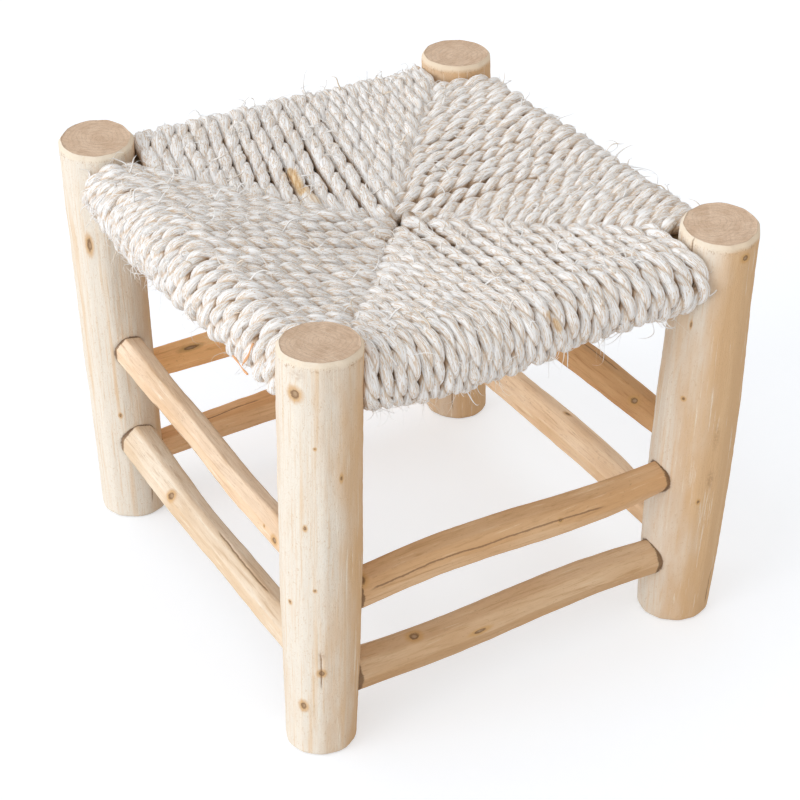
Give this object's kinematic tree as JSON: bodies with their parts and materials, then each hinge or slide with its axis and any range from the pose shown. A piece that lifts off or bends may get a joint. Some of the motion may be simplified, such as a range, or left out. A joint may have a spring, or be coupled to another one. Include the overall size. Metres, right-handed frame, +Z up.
{
  "type": "stool",
  "caption": "Low stool with whittled log posts, bent branch stretchers tenoned into them, and a seat of twisted palm rope woven around hidden rails in triangular panels.",
  "frame": {"origin": "on the floor, in the middle between the outermost ropes of the four sides of the seat", "axes": "+Z up, +X to the right side, -Y to the front; the seat is a little longer along Y than along X"},
  "size_m": [0.3503, 0.3759, 0.3124],
  "materials": {
    "post_wood": "raw pale log, debarked and whittled, matt",
    "stretcher_wood": "raw warm branch wood with drawknife flats, matt",
    "rail_wood": "raw wood, hidden under the rope",
    "seat_rope": "two-strand twisted palm rope, cream, matt and fuzzy"
  },
  "bodies": {
    "root": {"post_front_left": "post_wood", "post_front_right": "post_wood", "post_back_right": "post_wood", "post_back_left": "post_wood", "stretcher_front_upper": "stretcher_wood", "stretcher_front_lower": "stretcher_wood", "stretcher_right_upper": "stretcher_wood", "stretcher_right_lower": "stretcher_wood", "stretcher_back_upper": "stretcher_wood", "stretcher_back_lower": "stretcher_wood", "stretcher_left_upper": "stretcher_wood", "stretcher_left_lower": "stretcher_wood", "seat_rail_front": "rail_wood", "seat_rail_right": "rail_wood", "seat_rail_back": "rail_wood", "seat_rail_left": "rail_wood", "weave_front_left": "seat_rope", "weave_front_right": "seat_rope", "weave_back_right": "seat_rope", "weave_back_left": "seat_rope", "weave_runs_across": "seat_rope", "weave_runs_lengthwise": "seat_rope"}
  },
  "joints": []
}
